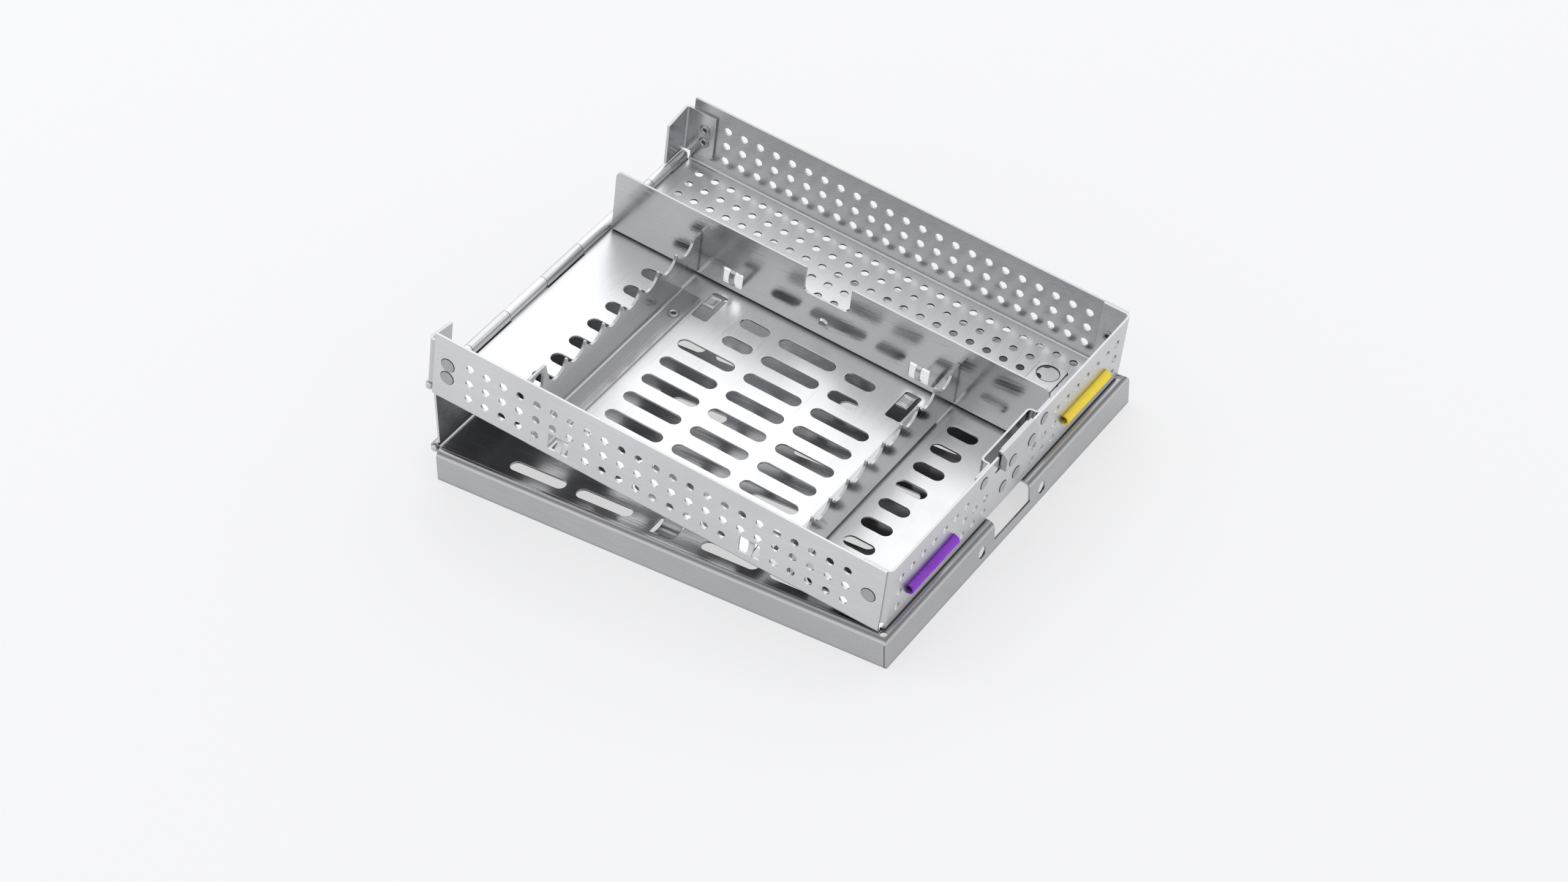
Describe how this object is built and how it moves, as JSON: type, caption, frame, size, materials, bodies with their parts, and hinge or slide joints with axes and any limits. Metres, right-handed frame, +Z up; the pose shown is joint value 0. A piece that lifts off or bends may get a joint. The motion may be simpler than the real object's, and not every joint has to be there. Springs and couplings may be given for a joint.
{
  "type": "instrument cassette",
  "caption": "Open perforated steel instrument cassette: tray with combs and partition, hinged spine and fold-back lid with a sprung latch.",
  "frame": {"origin": "middle of the whole open cassette's outline, on the table", "axes": "+Z up from the table, +X from the hinge side to the latch side, +Y from the front wall to the back"},
  "size_m": [0.1942, 0.1646, 0.0666],
  "materials": {
    "tray_steel": "satin brushed stainless sheet",
    "lid_steel": "satin brushed stainless sheet",
    "spine_steel": "satin brushed stainless sheet",
    "comb_steel": "satin stainless sheet",
    "spring_steel": "bright spring strip",
    "rivet_steel": "tumbled stainless",
    "pin_steel": "drawn bright wire",
    "button_steel": "satin stainless",
    "marker_steel": "bright thin plate",
    "purple": "matt silicone",
    "yellow": "matt silicone"
  },
  "bodies": {
    "tray": {"tray_floor": "tray_steel", "tray_knuckles": "tray_steel", "tray_front_wall": "tray_steel", "tray_back_wall": "tray_steel", "tray_latch_wall": "tray_steel", "partition": "comb_steel", "partition_rivets": "rivet_steel", "left_comb": "comb_steel", "right_comb": "comb_steel", "comb_rivets": "rivet_steel", "front_corner_bracket": "comb_steel", "back_corner_bracket": "comb_steel", "bracket_rivets": "rivet_steel", "corner_rivets": "rivet_steel", "tray_hinge_pin": "pin_steel", "latch_guard": "comb_steel", "latch_guard_rivets": "rivet_steel", "latch_spring": "spring_steel", "latch_spring_rivets": "rivet_steel", "purple_sleeve": "purple", "yellow_sleeve": "yellow", "marker_plate": "marker_steel"},
    "latch": {"latch_button": "button_steel", "latch_button_rivets": "rivet_steel"},
    "spine": {"spine_plate": "spine_steel"},
    "lid": {"lid_panel": "lid_steel", "lid_knuckles": "lid_steel", "lid_front_flange": "lid_steel", "lid_back_flange": "lid_steel", "lid_latch_flange": "lid_steel", "lid_hinge_pin": "pin_steel"}
  },
  "joints": [
    {"name": "tray_hinge", "type": "hinge", "parent": "tray", "child": "spine", "pos_m": [-0.09498, 0, 0.0397], "axis": [0, 1, 0], "range_deg": [0, 187.73]},
    {"name": "lid_hinge", "type": "hinge", "parent": "spine", "child": "lid", "pos_m": [-0.09498, 0, 0.0113], "axis": [0, 1, 0], "range_deg": [0, 180]},
    {"name": "latch_press", "type": "slide", "parent": "tray", "child": "latch", "axis": [-0.9909, 0, 0.1345], "range_m": [0, 0.0027], "stiffness_N_per_m": 3000, "deforming": ["latch_spring"]}
  ]
}
